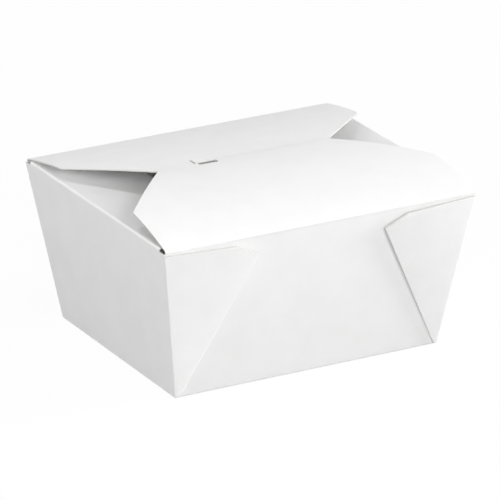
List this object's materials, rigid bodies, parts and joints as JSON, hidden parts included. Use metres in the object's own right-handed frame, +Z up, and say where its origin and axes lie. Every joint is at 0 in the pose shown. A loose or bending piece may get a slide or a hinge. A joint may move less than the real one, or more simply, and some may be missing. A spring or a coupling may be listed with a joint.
{
  "type": "takeout food box",
  "caption": "Closed paperboard takeout food box with leaning walls, double corner webs and a tongue-locked top.",
  "frame": {"origin": "middle of the floor's underside", "axes": "+X along the long walls to the right, the front wall faces -Y, +Z up"},
  "size_m": [0.1328, 0.1158, 0.0715],
  "materials": {
    "board": "white, with a faint sheen from its thin coating"
  },
  "bodies": {
    "box": {"folded_box": "board"},
    "lid": {"front_flap": "board"}
  },
  "joints": [
    {"name": "front_flap_crease", "type": "hinge", "parent": "box", "child": "lid", "pos_m": [0, -0.05623, 0.06377], "axis": [1, 0, 0], "range_deg": [0, 200]}
  ]
}
